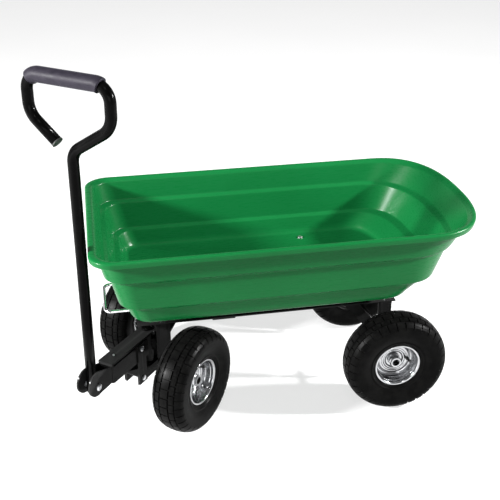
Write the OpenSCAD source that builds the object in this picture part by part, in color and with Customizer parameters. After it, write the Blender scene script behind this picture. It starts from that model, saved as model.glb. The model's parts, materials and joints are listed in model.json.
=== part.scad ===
// Garden dump cart: a moulded tub that tips on a steel chassis, with a steered front axle and a loop handle.
// The cart is laid out from the middle of the rear axle on the ground: +X forward, +Y left, +Z up.

/* [Wheels and axles] */
// Outer radius of a tyre
tyre_r = 127.5; // [120:0.5:130]
// Width of a tyre
tyre_w = 85; // [80:1:88]
// Radius of a rim's outer lip
rim_r = 57; // [55:0.5:58]
// Radius of the axle and of the spindles
axle_r = 7; // [6:0.5:7]
// Distance from the rear axle to the kingpins
wheelbase = 539; // [535:1:545]
// Distance between the middles of the two rear wheels
rear_track = 389; // [380:1:392]
// Distance of a kingpin from the cart's middle
kingpin_y = 122; // [120:1:126]
// Distance from a kingpin to the middle of its wheel
wheel_offset = 70; // [68:0.5:72]
// Distance of a spindle ahead of its kingpin
spindle_lead = 23; // [20:0.5:24]
// Angle to the left at which the steering is set
steer = 50.8; // [30:0.2:52]

/* [Chassis] */
// Outer face of a side rail, from the cart's middle
rail_out_y = 130; // [128:1:134]
// Width of a side rail
rail_w = 25; // [24:1:28]
// Underside of the side rails
rail_low = 254.5; // [254:0.5:256]
// Height of a side rail
rail_h = 44; // [42:0.5:44]
// Front end of the side rails
rail_front = 620; // [615:1:622]
// Sheet thickness of the rails and the cross members
sheet = 3; // [2.5:0.5:3]
// Thickness of the flat bars
bar_t = 5; // [4:0.5:5]
// Width of a post
post_w = 34; // [30:1:36]

/* [Tub] */
// Underside of the tub's floor
floor_z = 300; // [300:0.5:302]
// Height of the rim
rim_z = 487; // [480:1:500]
// Front edge of the rim
tub_front = 717; // [710:1:717]
// Rear tip of the pouring lip, behind the axle
tub_rear = 214; // [205:1:220]
// Overall width of the rim
tub_w = 498; // [480:1:500]
// Wall thickness of the moulding
wall = 4; // [3.5:0.5:5]

/* [Tongue and handle] */
// Distance from the rear axle to the steering bolt
pivot_x = 592; // [590:1:600]
// Distance from the steering bolt to the handle's bolt
handle_u = 227.5; // [226:0.5:231]
// Height of the handle's bolt
handle_z = 136; // [133:1:139]
// Angle by which the handle leans back against the rim
lean = 1.3; // [1:0.1:1.4]
// Radius of the handle's tube
tube_r = 12.5; // [11.5:0.5:13]
// Radius of the foam grip
grip_r = 17.2; // [16:0.2:18]
// Half the distance between the loop's two sides
loop_half = 106; // [100:1:108]
// Radius of the loop's lower bends
loop_bend = 50; // [46:1:52]
// Radius of the bends beside the grip
grip_bend = 35; // [32:1:38]
// Height of the grip's middle
grip_z = 866; // [855:1:870]

/* [Hidden] */
$fn = 48;
eps = 0.01;
run = 0.06;                                // radial clearance of a pin that turns in its hole
black = [0.04, 0.04, 0.045];
steel = [0.75, 0.76, 0.78];
rubber = [0.06, 0.06, 0.06];
green = [0.08, 0.42, 0.2];

// Section of a tyre from bead to bead: [radius, distance from the wheel's middle plane]
tyre_bead_r = rim_r - 3;
tyre_shoulder = 2.4;
tyre_half = tyre_w / 2;
tyre_crown = 56;                           // radial depth of the rounded section
tyre_section = [for (i = [0 : 28]) let (a = -90 + i * 180 / 28)
    [tyre_r - tyre_crown / 2 + tyre_crown / 2 * sign(cos(a)) * pow(abs(cos(a)), 2 / tyre_shoulder),
     tyre_half * sign(sin(a)) * pow(abs(sin(a)), 2 / tyre_shoulder)]];
tyre_reach = max([for (p = tyre_section) p[0] * sin(steer) + p[1] * cos(steer)]);

// The cart's box at rest, which places the origin at its bottom centre
loop_low = 806;                            // height of the loop's lower bend centres
front_x = pivot_x + (handle_u - sin(lean) * (loop_low - handle_z)) * cos(steer)
    + loop_half * sin(steer) + tube_r;
left_y = kingpin_y + wheel_offset * cos(steer) + spindle_lead * sin(steer) + tyre_reach;
right_y = kingpin_y + wheel_offset * cos(steer) - spindle_lead * sin(steer) + tyre_reach;
middle = [(front_x - tub_rear) / 2, (left_y - right_y) / 2, 0];

axle_z = tyre_r;
rail_top = rail_low + rail_h;
web_y = rail_out_y - rail_w;               // inner face of a rail's web
rail_rear = -17;
post_front_x = wheelbase + 18;
hinge = [-10, 0, 272];                     // line about which the tub tips
hinge_r = 5;
bolt_r = 4;
beam = [30, 168, 30];                      // front axle beam: depth, length, height
beam_low = 112;
sleeve_r = 13;
sleeve_low = 105;
sleeve_high = 150;
kingpin_r = 6;
pivot_low = 76;                            // steering sleeve
pivot_high = 157;
ear_t = 5;
ear_gap = 0.5;                             // play between a knuckle's ears and its sleeve
arm_back = 48;                             // steering arm's pin, behind the kingpin
stud_r = 4;
rod_t = 4.5;
rod_z = [88.9, 84];                        // underside of the left and of the right tie rod
rod_shift = [wheelbase - pivot_x, kingpin_y];
arm = [-arm_back, 0];
tongue_half = 20;                          // half width of the tongue's channel and foot
channel_low = 111;
channel_high = 156;
foot_low = 45;
foot_high = 72;
strap_z = 161;
strap_t = 6;
clevis_u = 171;
steering_r = 8;
pull = [598, 0, 265.5];                      // line about which the release loop turns
pull_r = 4;
loop_reach = 92;
loop_side = 68;
wheel_hub_out = 17;                        // hub's outer end, from the wheel's middle plane
wheel_hub_in = 33;

// ---------- frames of reference ----------

module cart() {
    translate(-middle) children();
}

// Turns with the tongue: +X along the tongue, origin on the ground under the steering bolt
module tongue() {
    cart() translate([pivot_x, 0, 0]) rotate([0, 0, steer]) children();
}

// Turns with a knuckle: +X ahead, origin on the ground under the kingpin
module knuckle_frame(side) {
    cart() translate([wheelbase, side * kingpin_y, 0]) rotate([0, 0, steer]) children();
}

// A wheel lies with its axis on Z and its outer side up; these stand it on its axle
module rear_wheel_frame(side) {
    cart() translate([0, side * rear_track / 2, axle_z]) rotate([-90 * side, 0, 0]) children();
}

module front_wheel_frame(side) {
    knuckle_frame(side) translate([spindle_lead, side * wheel_offset, axle_z])
        rotate([-90 * side, 0, 0]) children();
}

// Mirrors a left-hand part to the given side
module sided(side) {
    mirror([0, side < 0 ? 1 : 0, 0]) children();
}

// Cylinder along Y
module pin_y(r, from, to) {
    translate([0, from, 0]) rotate([-90, 0, 0]) cylinder(r = r, h = to - from);
}

// Bolt along +Z: round head below the origin, shank, and hexagonal nut at the far end
module bolt(r, grip) {
    translate([0, 0, -0.55 * r]) cylinder(r = 1.7 * r, h = 0.55 * r);
    translate([0, 0, -0.95 * r]) cylinder(r1 = 1.1 * r, r2 = 1.7 * r, h = 0.4 * r, $fn = 32);
    cylinder(r = r, h = grip + 1.8 * r);
    translate([0, 0, grip]) cylinder(r = 1.9 * r, h = 1.3 * r, $fn = 6);
}

module bolt_y(r, grip) {
    rotate([-90, 0, 0]) bolt(r, grip);
}

// Flat bar between two eyes, standing in the XZ plane and t thick along Y
module bar_xz(a, b, r, t) {
    rotate([90, 0, 0]) translate([0, 0, -t]) linear_extrude(t) bar_outline(a, b, r);
}

module bar_outline(a, b, r) {
    d = b - a;
    len = norm(d);
    translate(a) rotate(atan2(d[1], d[0])) {
        translate([0, -r]) square([len, 2 * r]);
        circle(r);
        translate([len, 0]) circle(r);
    }
}

// ---------- tub ----------

// Outline of the tub at one level: a bowed rear, straight sides and a front with rounded corners.
// level = [z, half width, front x, rear x, start of the bow, squareness of the bow, corner radius]
bow_n = 32;
corner_n = 8;
function tub_ring(level) = let (
        z = level[0], hw = level[1], xf = level[2], xr = level[3],
        xs = level[4], sq = 2 / level[5], rc = level[6]) concat(
    [for (i = [0 : bow_n]) let (a = i * 180 / bow_n)
        [xs - (xs - xr) * pow(abs(sin(a)), sq), hw * sign(cos(a)) * pow(abs(cos(a)), sq), z]],
    [for (i = [0 : corner_n]) let (a = -90 + i * 90 / corner_n)
        [xf - rc + rc * cos(a), -hw + rc + rc * sin(a), z]],
    [for (i = [0 : corner_n]) let (a = i * 90 / corner_n)
        [xf - rc + rc * cos(a), hw - rc + rc * sin(a), z]]);

// Side wall from the floor up: [height above the floor, inset from the rim's half width,
// inset of the front, inset of the rear, start of the bow, squareness]
rim_half = tub_w / 2;
depth = rim_z - floor_z;
tub_outer = [
    [0, 59, 95, 172, 50, 3.0, 40],
    [0.022, 51, 88, 164, 50, 3.0, 44],
    [0.07, 47, 83, 158, 48, 3.0, 46],
    [0.235, 41, 71, 120, 20, 3.0, 46],
    [0.267, 32, 58, 100, 10, 3.0, 50],
    [0.631, 26, 42, 64, 0, 2.7, 50],
    [0.668, 18, 30, 48, 0, 2.6, 52],
    [0.955, 13.5, 18, 15, -40, 2.5, 52]
];
tub_rim = [
    [0.955, 4.5, 6, 7, -42, 2.5, 54],
    [0.923, 4, 5, 6, -43, 2.5, 54],
    [0.918, 1, 1.5, 2, -45, 2.5, 55],
    [0.978, 0, 0, 0, -50, 2.5, 55],
    [1, 3, 3.5, 2.5, -50, 2.5, 54],
    [1, 9.5, 15, 9, -48, 2.5, 52]
];
function tub_level(l) = [floor_z + depth * l[0], rim_half - l[1], tub_front - l[2],
    -(tub_rear - l[3]), l[4], l[5], l[6]];
// The inner face follows the outer one, a wall's thickness in and up
function tub_inner(l) = [floor_z + depth * l[0] + (l[0] == 0.955 ? 0 : wall), rim_half - l[1] - wall,
    tub_front - l[2] - wall, -(tub_rear - l[3] - wall), l[4], l[5], max(l[6] - wall, 10)];
tub_levels = concat(
    [for (l = tub_outer) tub_level(l)],
    [for (l = tub_rim) tub_level(l)],
    [for (i = [len(tub_outer) - 1 : -1 : 0]) tub_inner(tub_outer[i])]);
tub_rings = [for (l = tub_levels) tub_ring(l)];

// Closed skin through a stack of rings with equal counts of points
module skin(rings) {
    n = len(rings[0]);
    m = len(rings);
    points = [for (r = rings) for (p = r) p];
    sides = [for (j = [0 : m - 2]) for (i = [0 : n - 1]) let (k = (i + 1) % n)
        each [[j * n + i, (j + 1) * n + k, j * n + k], [j * n + i, (j + 1) * n + i, (j + 1) * n + k]]];
    first = [for (i = [0 : n - 1]) i];
    last = [for (i = [n - 1 : -1 : 0]) (m - 1) * n + i];
    polyhedron(points = points, faces = concat([first], sides, [last]), convexity = 6);
}

foot_pad = [10, 22, 27];                   // moulded foot under each front corner
module tub() {
    color(green) cart() {
        difference() {
            skin(tub_rings);
            for (p = tub_bolt_places)
                translate([p[0], p[1], floor_z - 1]) cylinder(r = bolt_r + 0.1, h = wall + 2);
        }
        for (side = [-1, 1])
            translate([rail_front + 1, side * (web_y + foot_pad[1] / 2 + 2) - foot_pad[1] / 2,
                       floor_z - foot_pad[2] + 1])
                cube(foot_pad);
    }
}

// Bolts through the floor: four for the hinge brackets, two for the striker and two beside the rails.
// Each place is [x, y, thickness held]
bracket_x = [20, 55];
bracket_bolt_y = 76;
striker_x = pull[0] + 18;
striker_bolt_y = 18;
tub_bolt_places = concat(
    [for (x = bracket_x) for (s = [-1, 1]) [x, s * bracket_bolt_y, wall + sheet]],
    [for (s = [-1, 1]) [striker_x - 16, s * striker_bolt_y, wall + sheet]],
    [for (s = [-1, 1]) [156, s * 165, wall]]);

module tub_bolts() {
    color(steel) cart()
        for (p = tub_bolt_places)
            translate([p[0], p[1], floor_z + wall]) mirror([0, 0, 1]) bolt(bolt_r, p[2]);
}

// Angle bracket that hangs the tub on its hinge pin
bracket_in_y = 88;
module hinge_bracket(side) {
    leg_t = sheet + 1;
    color(black) cart() sided(side) difference() {
        union() {
            translate([-20, 60, floor_z - sheet]) cube([90, bracket_in_y - 60 + leg_t, sheet]);
            hull() {
                translate([-20, bracket_in_y, floor_z - sheet]) cube([90, leg_t, sheet]);
                translate([hinge[0], bracket_in_y, hinge[2]]) pin_y(14, 0, leg_t, $fn = 32);
            }
        }
        translate(hinge) pin_y(hinge_r + run, bracket_in_y - 1, bracket_in_y + leg_t + 1);
        for (x = bracket_x)
            translate([x, bracket_bolt_y, floor_z - sheet - 1]) cylinder(r = bolt_r + 0.1, h = sheet + 2);
    }
}

// Striker under the front of the floor: two ears and the pin that the latch holds, with a window
// above it for the nose of the latch
striker_z = pull[2] + 18;
module latch_striker() {
    color(steel) cart() {
        difference() {
            translate([striker_x - 26, -30, floor_z - sheet]) cube([32, 60, sheet]);
            for (s = [-1, 1])
                translate([striker_x - 16, s * striker_bolt_y, floor_z - sheet - 1])
                    cylinder(r = bolt_r + 0.1, h = sheet + 2);
            translate([striker_x - 20, -9, floor_z - sheet - 1]) cube([18, 18, sheet + 2]);
        }
        for (s = [-1, 1])
            translate([striker_x - 8, s * 28 - 2, striker_z - 7]) cube([14, 4, floor_z - striker_z + 6]);
        translate([striker_x, 0, striker_z]) pin_y(4, -28, 28);
    }
}

// ---------- chassis ----------

// Channel with its web inside and its two flanges reaching out
module rail(side) {
    color(black) cart() sided(side) difference() {
        translate([rail_rear, web_y, rail_low]) cube([rail_front - rail_rear, rail_w, rail_h]);
        translate([rail_rear - 1, web_y + sheet, rail_low + sheet])
            cube([rail_front - rail_rear + 2, rail_w, rail_h - 2 * sheet]);
        translate(hinge) pin_y(hinge_r + run, web_y - 1, web_y + sheet + 1);
        for (p = rail_bolt_places)
            translate([p[0], 0, p[1]]) pin_y(bolt_r + 0.1, web_y - 1, web_y + sheet + 1);
    }
}

// Bolts through the rails' webs, as [x, z]
post_bolt_z = [266, 286];
brace_top = [112, 272];
rail_bolt_places = concat(
    [for (z = post_bolt_z) [post_front_x, z]],
    [[10, 266], brace_top]);

// Channel across the cart between the rails, its open side forward
module front_crossmember() {
    depth_x = 20;
    low = pull[2] - 10.5;
    high = pull[2] + 10.5;
    back = pull[0] - 14;
    color(black) cart() difference() {
        union() {
            translate([back, -web_y, low]) cube([sheet, 2 * web_y, high - low]);
            for (z = [low, high - sheet])
                translate([back, -web_y, z]) cube([depth_x, 2 * web_y, sheet]);
            for (side = [-1, 1])
                translate([back, side * 46 - 3, low]) cube([depth_x - 2, 6, high - low]);
        }
        translate(pull) pin_y(pull_r + run, -web_y, web_y);
        translate([back + sheet + 1, -14, low - 1]) cube([depth_x, 28, high - low + 2]);
    }
}

// Channel across the cart between the rails, open downwards
module rear_crossmember() {
    depth_x = 30;
    from = 130;
    low = rail_low + 4;
    high = rail_top - 8;
    color(black) cart() difference() {
        translate([from, -web_y, low]) cube([depth_x, 2 * web_y, high - low]);
        translate([from + sheet, -web_y - 1, low - 1])
            cube([depth_x - 2 * sheet, 2 * web_y + 2, high - low + 1 - sheet]);
    }
}

// Flat plate under the rails at mid length
module middle_plate() {
    color(black) cart()
        translate([385, -rail_out_y, rail_low - sheet]) cube([55, 2 * rail_out_y, sheet]);
}

// Flat post hanging from a rail's web
module post(side, x, low) {
    color(black) cart() sided(side) difference() {
        translate([x - post_w / 2, web_y - bar_t, low]) cube([post_w, bar_t, rail_top - low]);
        for (p = rail_bolt_places)
            translate([p[0], 0, p[1]]) pin_y(bolt_r + 0.1, web_y - bar_t - 1, web_y + 1);
        translate(hinge) pin_y(hinge_r + run, web_y - bar_t - 1, web_y + 1);
        translate([0, 0, axle_z]) pin_y(axle_r + 0.02, web_y - bar_t - 1, web_y + 1);
    }
}

module front_post(side) {
    post(side, post_front_x, beam_low + beam[2]);
}

module rear_post(side) {
    post(side, 0, axle_z - 20);
}

// Diagonal flat bar from a rail down to the rear post's front edge
module rear_brace(side) {
    color(black) cart() sided(side) difference() {
        translate([0, web_y - bar_t, 0]) intersection() {
            bar_xz(brace_top, [-8, 124], 14, bar_t);
            translate([post_w / 2, -1, 0]) cube([200, bar_t + 2, 400]);
        }
        translate([brace_top[0], 0, brace_top[1]]) pin_y(bolt_r + 0.1, web_y - bar_t - 1, web_y + 1);
    }
}

// Beam with a kingpin sleeve behind each end and the steering sleeve in front of its middle
module front_axle_beam() {
    color(black) cart() difference() {
        union() {
            translate([post_front_x - beam[0] / 2, -beam[1] / 2, beam_low]) cube(beam);
            for (side = [-1, 1]) {
                translate([wheelbase, side * kingpin_y, sleeve_low])
                    cylinder(r = sleeve_r, h = sleeve_high - sleeve_low);
                translate([0, 0, 121]) linear_extrude(12) gusset_outline(side);
            }
            translate([pivot_x, 0, pivot_low]) cylinder(r = 14, h = pivot_high - pivot_low);
            translate([post_front_x, -10, beam_low + 2]) cube([pivot_x - post_front_x, 20, beam[2] - 4]);
        }
        for (side = [-1, 1])
            translate([wheelbase, side * kingpin_y, sleeve_low - 1])
                cylinder(r = kingpin_r + run, h = sleeve_high - sleeve_low + 2);
        translate([pivot_x, 0, pivot_low - 1])
            cylinder(r = steering_r + run, h = pivot_high - pivot_low + 2);
    }
}

module gusset_outline(side) {
    x0 = post_front_x - beam[0] / 2;
    y0 = beam[1] / 2;
    polygon([[x0 + 2, side * (y0 - 20)], [x0 + beam[0] - 4, side * (y0 - 4)],
             [wheelbase + 8, side * (kingpin_y - 8)], [wheelbase - 8, side * (kingpin_y - 8)]]);
}

module rear_axle() {
    color(black) cart() translate([0, 0, axle_z]) {
        reach = rear_track / 2 + wheel_hub_out - 7;
        pin_y(axle_r, -reach, reach);
        for (side = [-1, 1]) {
            inner = rear_track / 2 - wheel_hub_in - 0.5;
            sided(side) pin_y(11, inner - 6, inner);
        }
    }
}

// Retaining rings near the ends of the axle, in the hubs' mouths
clip_out = 4;
module clip() {
    difference() {
        cylinder(r = axle_r + 1.6, h = 1.4);
        translate([0, 0, -1]) cylinder(r = axle_r, h = 4);
    }
}

module rear_axle_clips() {
    color(steel) for (side = [-1, 1])
        rear_wheel_frame(side) translate([0, 0, wheel_hub_out - 8.5 - clip_out + 0.5]) clip();
}

module frame_bolts() {
    color(steel) cart() for (side = [-1, 1]) sided(side)
        for (p = rail_bolt_places)
            translate([p[0], web_y + sheet, p[1]]) mirror([0, 1, 0]) bolt_y(bolt_r, sheet + bar_t);
}

// Pins on which the tub's brackets turn
module hinge_pins() {
    color(steel) cart() for (side = [-1, 1]) sided(side) {
        translate([hinge[0], web_y + sheet, hinge[2]]) mirror([0, 1, 0])
            bolt_y(hinge_r, web_y + sheet - bracket_in_y + 1);
    }
}

module kingpins() {
    color(steel) cart() for (side = [-1, 1])
        translate([wheelbase, side * kingpin_y, sleeve_low - ear_gap - ear_t])
            bolt(kingpin_r, sleeve_high - sleeve_low + 2 * ear_gap + 2 * ear_t);
}

// ---------- release latch ----------

// Torsion spring on the loop's shaft, as the tube its coils fill
module latch_spring() {
    color(steel) cart() translate(pull) difference() {
        pin_y(6.5, 19, 43);
        pin_y(pull_r + 0.6, 18, 44);
    }
}

// Wire bail: a cross bar in front, two legs, and stub ends that turn in the cross member
module release_loop() {
    wire = 4;
    corner = 16;
    front = pull[0] + loop_reach;
    color(steel) cart() translate([0, 0, pull[2]]) {
        translate([front, 0, 0]) pin_y(wire, -loop_side + corner, loop_side - corner);
        for (side = [-1, 1]) sided(side) {
            translate([front - corner, loop_side - corner, 0]) rotate_extrude(angle = 90)
                translate([corner, 0]) circle(wire, $fn = 24);
            translate([pull[0], loop_side, 0]) rotate([0, 90, 0])
                cylinder(r = wire, h = loop_reach - corner);
            translate([pull[0], 0, 0]) pin_y(pull_r, -1, loop_side);
            translate([pull[0], loop_side, 0]) sphere(wire, $fn = 24);
        }
    }
}

// Plate on the loop's shaft: its nose reaches over the striker pin
module latch_hook() {
    color(steel) cart() translate([pull[0], 0, pull[2]]) rotate([90, 0, 0])
        translate([0, 0, -6]) linear_extrude(12) difference() {
            union() {
                circle(8.5);
                polygon([[-4, 0], [8, 0], [11, 22.6], [21, 22.6],
                         [23, 25], [19, 28.5], [6, 28.5], [-1, 22]]);
            }
            circle(pull_r);
        }
}

// ---------- tongue ----------

module tongue_channel() {
    from = 26;
    to = clevis_u - strap_t / 2;
    color(black) tongue() difference() {
        translate([from, -tongue_half, channel_low])
            cube([to - from, 2 * tongue_half, channel_high - channel_low]);
        translate([from - 1, -tongue_half + sheet, channel_low - 1])
            cube([to - from + 2, 2 * (tongue_half - sheet), channel_high - channel_low + 1 - sheet]);
        translate([link_u, 0, link_high]) pin_y(bolt_r + 0.1, -tongue_half - 1, tongue_half + 1);
        translate([rivet_u, 0, channel_high - 10]) cylinder(r = rivet_r + 0.1, h = 20);
    }
}

// Plate over the channel: it carries the steering bolt behind and bends down in front
module tongue_strap() {
    color(black) tongue() difference() {
        union() {
            translate([0, -tongue_half, strap_z]) cube([clevis_u + strap_t / 2, 2 * tongue_half, strap_t]);
            translate([0, 0, strap_z]) cylinder(r = tongue_half, h = strap_t);
            translate([clevis_u - strap_t / 2, -tongue_half, channel_low + 2])
                cube([strap_t, 2 * tongue_half, strap_z + 1 - channel_low - 2]);
            translate([30, -tongue_half + 3, channel_high])
                cube([26, 2 * tongue_half - 6, strap_z - channel_high]);
        }
        translate([0, 0, strap_z - 1]) cylinder(r = steering_r + 0.05, h = strap_t + 2);
        translate([rivet_u, 0, channel_high - 10]) cylinder(r = rivet_r + 0.1, h = 30);
    }
}

// Fork for the handle: two rounded cheeks joined by a back plate
clevis_half = 15;
cheek_t = 4;
nose_r = 31;
nose_u = 229;
nose_low = 114;
module tongue_clevis() {
    color(black) tongue() {
        for (side = [-1, 1])
            translate([0, side * (clevis_half + cheek_t / 2) - cheek_t / 2, 0]) difference() {
                rotate([90, 0, 0]) translate([0, 0, -cheek_t]) linear_extrude(cheek_t) {
                    polygon([[clevis_u + strap_t / 2, nose_low + 3], [nose_u - 6, nose_low + 1],
                             [nose_u, nose_low + nose_r], [nose_u - 12, nose_low + 2 * nose_r - 3],
                             [clevis_u + strap_t / 2, nose_low + 46]]);
                    translate([nose_u, nose_low + nose_r]) circle(nose_r, $fn = 64);
                }
                translate([handle_u, 0, handle_z]) pin_y(bolt_r + 1 + 0.05, -1, cheek_t + 1);
            }
        translate([clevis_u + strap_t / 2, -clevis_half - eps, nose_low + 3])
            cube([5, 2 * (clevis_half + eps), 43]);
    }
}

// Plates that tie the channel to the foot
link_u = 58;
link_w = 32;
link_high = 147;
link_low = 60;
module tongue_link(side) {
    color(black) tongue() sided(side) translate([0, tongue_half, 0]) difference() {
        translate([link_u - link_w / 2, 0, foot_low + 2])
            cube([link_w, bar_t - 1, strap_z - foot_low - 3]);
        for (z = [link_high, link_low])
            translate([link_u, 0, z]) pin_y(bolt_r + 0.1, -1, bar_t);
    }
}

// Lower channel under the axle beam, with the stud of both tie rods on its tail
module tongue_foot() {
    tail = 64;
    from = link_u + link_w / 2;
    color(black) tongue() {
        difference() {
            translate([-tail, -tongue_half, foot_low])
                cube([tail + from, 2 * tongue_half, foot_high - foot_low]);
            translate([-tail - 1, -tongue_half + sheet, foot_low - 1])
                cube([tail + from + 2, 2 * (tongue_half - sheet), foot_high - foot_low + 1 - sheet]);
            translate([0, 0, foot_low]) cylinder(r = steering_r + 0.05, h = 40);
            translate([link_u, 0, link_low]) pin_y(bolt_r + 0.1, -tongue_half - 1, tongue_half + 1);
        }
        translate(arm) {
            translate([0, 0, foot_high - 1]) cylinder(r = 7, h = rod_z[1] - foot_high + 0.7);
            translate([0, 0, foot_high]) cylinder(r = stud_r, h = rod_z[0] + rod_t + 1 - foot_high);
            translate([0, 0, rod_z[0] + rod_t + 0.3]) cylinder(r = 6, h = 2.5);
        }
    }
}

rivet_u = 138;
rivet_r = 2.2;
module tongue_bolts() {
    across = 2 * (tongue_half + bar_t - 1);
    color(steel) tongue() {
        for (z = [link_high, link_low])
            translate([link_u, across / 2, z]) mirror([0, 1, 0]) bolt_y(bolt_r, across);
        translate([rivet_u, 0, strap_z + strap_t]) mirror([0, 0, 1])
            bolt(rivet_r, strap_z + strap_t - channel_high + sheet);
    }
}

module steering_bolt() {
    top = strap_z + strap_t;
    color(black) tongue() {
        translate([0, 0, top]) mirror([0, 0, 1]) bolt(steering_r, top - foot_high + sheet);
        translate([0, 0, pivot_high + 0.4]) cylinder(r = 13, h = strap_z - pivot_high - 0.4);
        translate([0, 0, foot_high]) cylinder(r = 13, h = pivot_low - foot_high - 0.4);
    }
}

// Bolt through the fork, with a spacer on each side of the handle
module handle_bolt() {
    r = bolt_r + 1;
    across = 2 * (clevis_half + cheek_t);
    color(steel) tongue() translate([handle_u, 0, handle_z]) {
        translate([0, across / 2, 0]) mirror([0, 1, 0]) bolt_y(r, across);
        for (side = [-1, 1]) sided(side) pin_y(8, tube_r + 0.4, clevis_half);
    }
}

// ---------- handle ----------

// The handle stands in the YZ plane of this frame, its bolt at the origin, leaning back onto the rim
module handle_frame() {
    tongue() translate([handle_u, 0, handle_z]) rotate([0, -lean, 0]) children();
}

rise = 32;                                 // slope of the arm that leaves the shaft
fall = 38.5;                               // slope of the free end
free_len = 62;
shaft_bend = 40;
low = [loop_half - loop_bend, loop_low - handle_z];
top = [loop_half - grip_bend, grip_z - grip_bend - handle_z];
arm_start = low + loop_bend * [sin(rise), -cos(rise)];
knee_z = arm_start[1] - arm_start[0] * tan(rise) - shaft_bend * tan((90 - rise) / 2);
knee = [shaft_bend - shaft_bend * sin(rise), knee_z + shaft_bend * cos(rise)];
free_dir = [cos(fall), -sin(fall)];
free_start = [-low[0], low[1]] - loop_bend * [sin(fall), cos(fall)];
free_end = free_start + free_len * free_dir;
grip_left = 24;                            // angles over which the grip runs on into the bends
grip_right = 41;

// Length of tube in the loop's plane: straight from a to b, short of both by the weld's root
root = 0.3;
module run_tube(a, b, r) {
    d = b - a;
    translate([0, a[0], a[1]]) rotate([-atan2(d[0], d[1]), 0, 0])
        translate([0, 0, root]) cylinder(r = r, h = norm(d) - 2 * root);
}

// Bend in the loop's plane: from angle a over the angle sweep
module arc_tube(centre, bend, a, sweep, r) {
    short = root / bend * 180 / PI;
    translate([0, centre[0], centre[1]]) rotate([90, 0, 90]) rotate([0, 0, a + short])
        rotate_extrude(angle = sweep - 2 * short, $fn = 96) translate([bend, 0]) circle(r, $fn = 32);
}

// Weld line round the tube where two lengths meet
module seam(at, direction, r) {
    translate([0, at[0], at[1]]) rotate([90 - direction, 0, 0])
        translate([0, 0, -1]) cylinder(r = r + 0.03, h = 2);
}

// Stations of the bent part, as [place in the loop's plane, heading]
function bend_path(centre, bend, a, b, steps) = [for (i = [0 : steps])
    let (angle = a + (b - a) * i / steps)
        [centre + bend * [cos(angle), sin(angle)], angle + (b > a ? 90 : -90)]];
loop_path = concat(
    [[[0, knee_z - 6], 90]],
    bend_path([shaft_bend, knee_z], shaft_bend, 180, 90 + rise, 6),
    bend_path(low, loop_bend, rise - 90, 0, 6),
    bend_path(top, grip_bend, 0, 90, 7),
    bend_path([-top[0], top[1]], grip_bend, 90, 180, 7),
    bend_path([-low[0], low[1]], loop_bend, 180, 270 - fall, 6),
    [[free_end, -fall]]);
loop_sides = 20;
function loop_ring(station, r) = [for (i = [0 : loop_sides - 1])
    let (a = i * 360 / loop_sides, y = station[0][0], z = station[0][1], h = station[1])
        [r * cos(a), y + r * sin(a) * sin(h), z - r * sin(a) * cos(h)]];

// One bent tube: a straight shaft with the bolt's hole, and the loop
module handle_tube() {
    color(black) handle_frame() {
        difference() {
            translate([0, 0, -16]) cylinder(r = tube_r, h = knee_z + 15);
            pin_y(bolt_r + 1 + run, -tube_r - 1, tube_r + 1);
        }
        skin([for (station = loop_path) loop_ring(station, tube_r - 0.03)]);
    }
}

// Foam sleeve over the loop's top and the beginning of both bends
module grip_solid(r, more) {
    crown = top[1] + grip_bend;
    arc_tube(top, grip_bend, 90 - grip_left - more, grip_left + more, r);
    seam([top[0], crown], 0, r);
    run_tube([top[0], crown], [-top[0], crown], r);
    seam([-top[0], crown], 0, r);
    arc_tube([-top[0], top[1]], grip_bend, 90, grip_right + more, r);
}

module handle_grip() {
    color([0.2, 0.2, 0.22]) handle_frame() difference() {
        grip_solid(grip_r, 0);
        grip_solid(tube_r + 0.04, 2);
    }
}

module handle_end_cap() {
    color(black) handle_frame()
        run_tube(free_end - root * free_dir, free_end + 3 * free_dir, tube_r + 0.6);
}

// ---------- steering knuckles and tie rods ----------

module knuckle(side) {
    low = sleeve_low - ear_gap - ear_t;
    high = sleeve_high + ear_gap;
    web_in = 15.5;
    web_front = spindle_lead + 9;
    rod_low = rod_z[side > 0 ? 0 : 1];
    color(black) knuckle_frame(side) sided(side) difference() {
        union() {
            for (z = [low, high]) translate([0, 0, z]) linear_extrude(ear_t) {
                circle(14);
                polygon([[-14, 0], [14, 0], [web_front, web_in], [web_front, web_in + bar_t],
                         [-14, web_in + bar_t]]);
            }
            translate([-14, web_in, low]) cube([web_front + 14, bar_t, high + ear_t - low]);
            translate([0, 0, low]) linear_extrude(ear_t) bar_outline([0, 0], arm, 7.5);
            translate([spindle_lead, 0, axle_z])
                pin_y(axle_r, web_in, wheel_offset + wheel_hub_out - 7);
            translate([spindle_lead, 0, axle_z])
                pin_y(11, web_in, wheel_offset - wheel_hub_in - 0.5);
            translate(arm) {
                translate([0, 0, rod_low + rod_t + 0.3]) cylinder(r = 7, h = low - rod_low - rod_t + 0.7);
                translate([0, 0, rod_low - 1]) cylinder(r = stud_r, h = low - rod_low + 2);
                translate([0, 0, rod_low - 2.8]) cylinder(r = 6, h = 2.5);
            }
        }
        for (z = [low - 1, high - 1]) translate([0, 0, z]) cylinder(r = kingpin_r + run, h = ear_t + 2);
    }
}

module spindle_clip(side) {
    color(steel) front_wheel_frame(side)
        translate([0, 0, wheel_hub_out - 8.5 - clip_out + 0.5]) clip();
}

// Flat tie rod from the tongue's stud to the knuckle's stud; it stays parallel to itself
module tie_rod(side) {
    a = [pivot_x, 0] + arm_back * [-cos(steer), -sin(steer)];
    b = a + [rod_shift[0], side * rod_shift[1]];
    color(black) cart() translate([0, 0, rod_z[side > 0 ? 0 : 1]]) linear_extrude(rod_t) difference() {
        bar_outline(a, b, 8);
        translate(a) circle(stud_r + run);
        translate(b) circle(stud_r + run);
    }
}

// ---------- wheels ----------

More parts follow.
